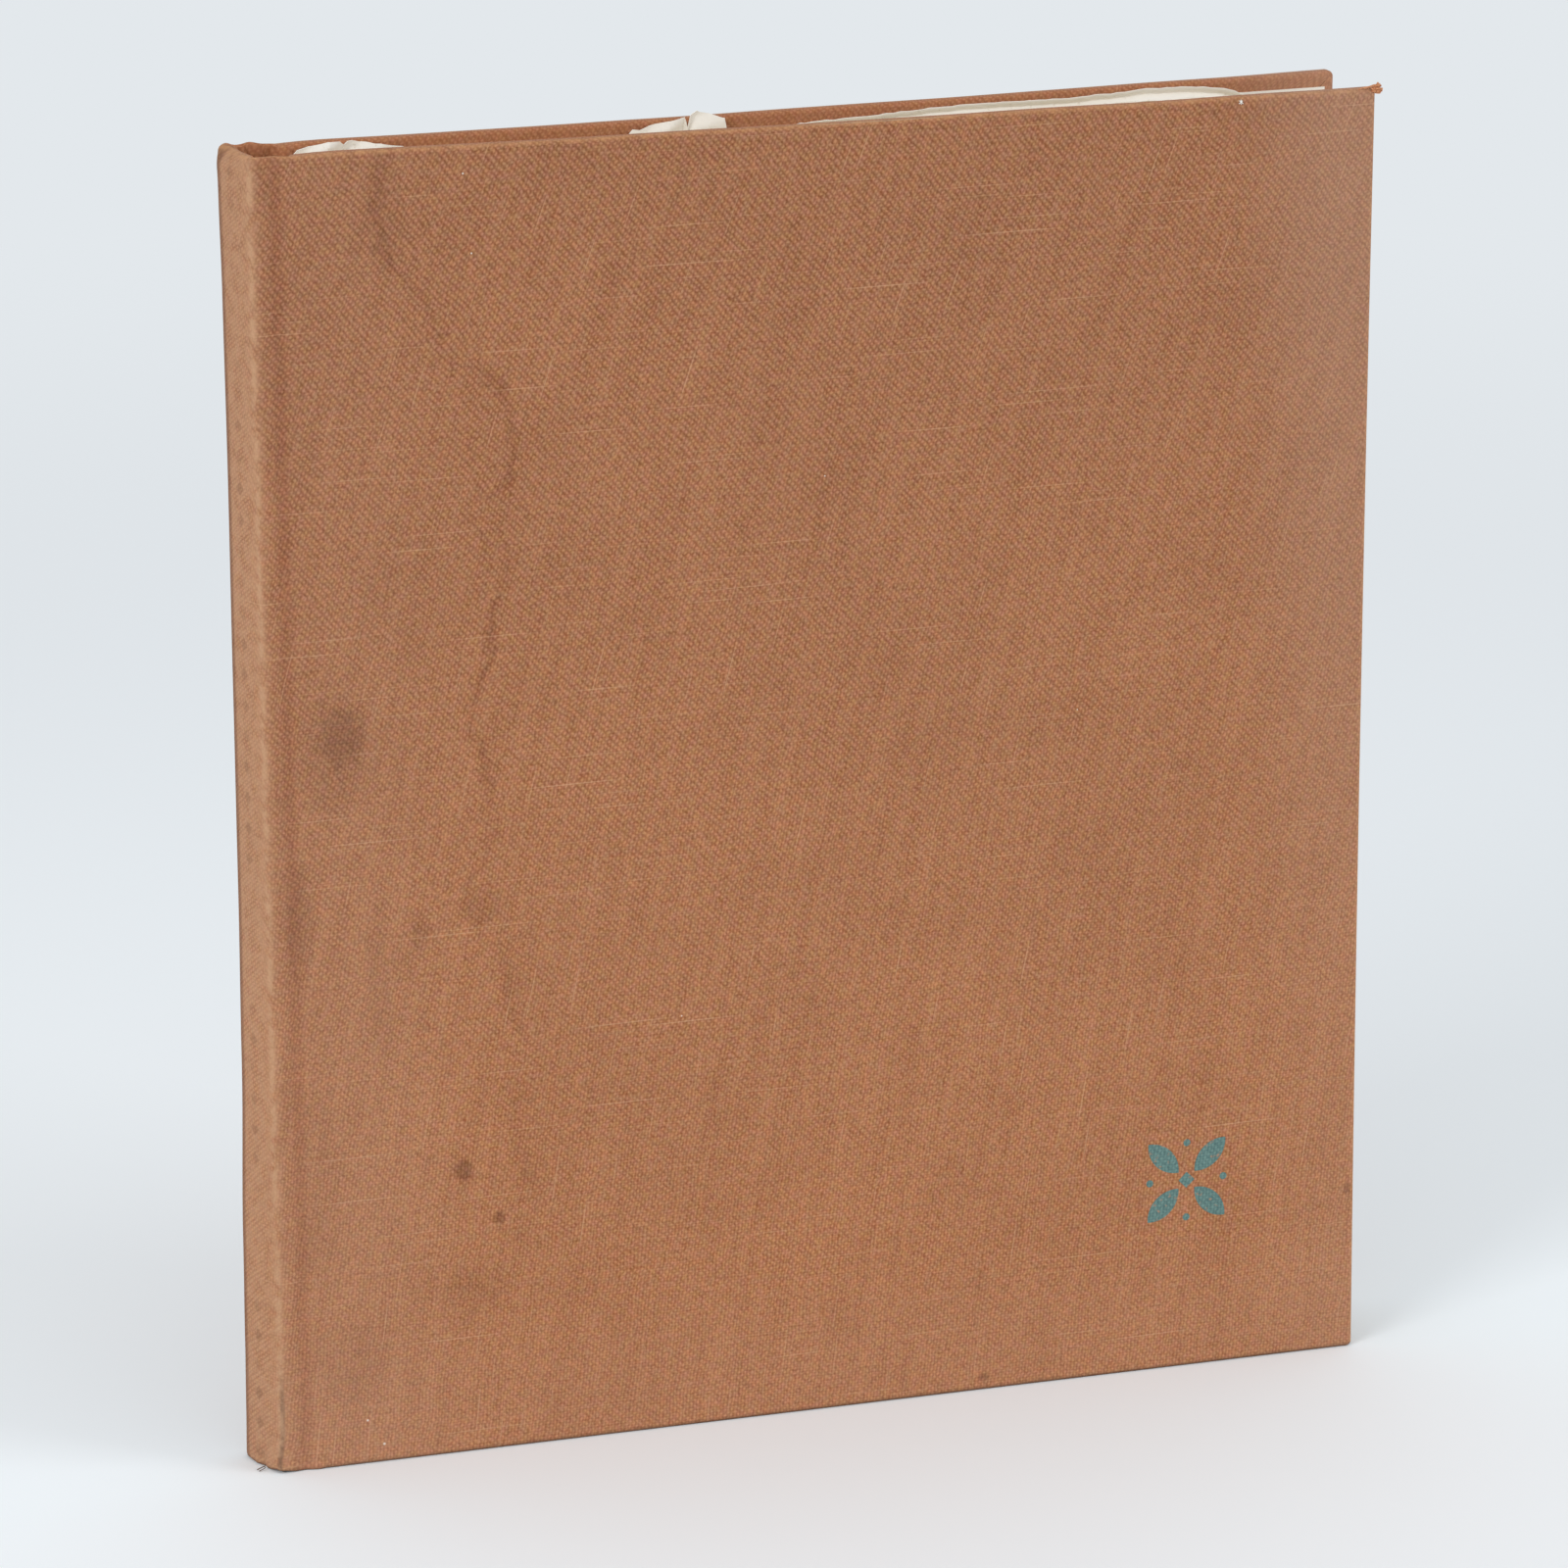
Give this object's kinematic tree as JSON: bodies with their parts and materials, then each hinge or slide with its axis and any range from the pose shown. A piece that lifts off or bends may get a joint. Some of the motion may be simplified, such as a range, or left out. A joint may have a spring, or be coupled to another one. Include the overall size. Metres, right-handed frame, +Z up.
{
  "type": "hardback book",
  "caption": "Cloth-bound hardback book standing upright, with covered boards hinged on cloth joints, a sewn text block, endpapers and head bands.",
  "frame": {"origin": "under the middle of the standing book, on the surface it stands on", "axes": "+X from the spine to the fore-edge, +Y from the front cover to the back cover, +Z up the spine from tail to head"},
  "size_m": [0.2448, 0.0256, 0.2814],
  "materials": {
    "page_edges": "trimmed edges of coated paper, a little yellowed",
    "gauze": "starched open-weave gauze, glued",
    "kraft": "brown lining paper, glued",
    "band_thread": "wound cotton thread on a cord",
    "inlay_card": "thin grey-brown card",
    "board_card": "dense grey-brown binder's board",
    "cloth": "coarse plain-woven linen book cloth, unglazed, worn and soiled",
    "endpaper": "uncoated cream endpaper",
    "loose_paper": "thin white paper, torn and creased at the head",
    "pigment": "matt blue-green stamping pigment pressed into the cloth"
  },
  "bodies": {
    "book_block": {"text_block": "page_edges", "mull": "gauze", "spine_liner": "kraft", "head_band": "band_thread", "tail_band": "band_thread", "spine_inlay": "inlay_card", "spine_cloth": "cloth", "front_flyleaf": "endpaper", "back_flyleaf": "endpaper", "loose_sheet": "loose_paper"},
    "front_cover": {"front_board": "board_card", "front_cloth": "cloth", "front_pastedown": "endpaper", "cover_ornament": "pigment"},
    "back_cover": {"back_board": "board_card", "back_cloth": "cloth", "back_pastedown": "endpaper"}
  },
  "joints": [
    {"name": "front_cover_hinge", "type": "hinge", "parent": "book_block", "child": "front_cover", "pos_m": [-0.11855, -0.0039, 0.14], "axis": [0, 0, -1], "range_deg": [-1.2, 176.8]},
    {"name": "back_cover_hinge", "type": "hinge", "parent": "book_block", "child": "back_cover", "pos_m": [-0.11855, 0.0039, 0.14], "axis": [0, 0, 1], "range_deg": [-1.2, 176.8]}
  ]
}
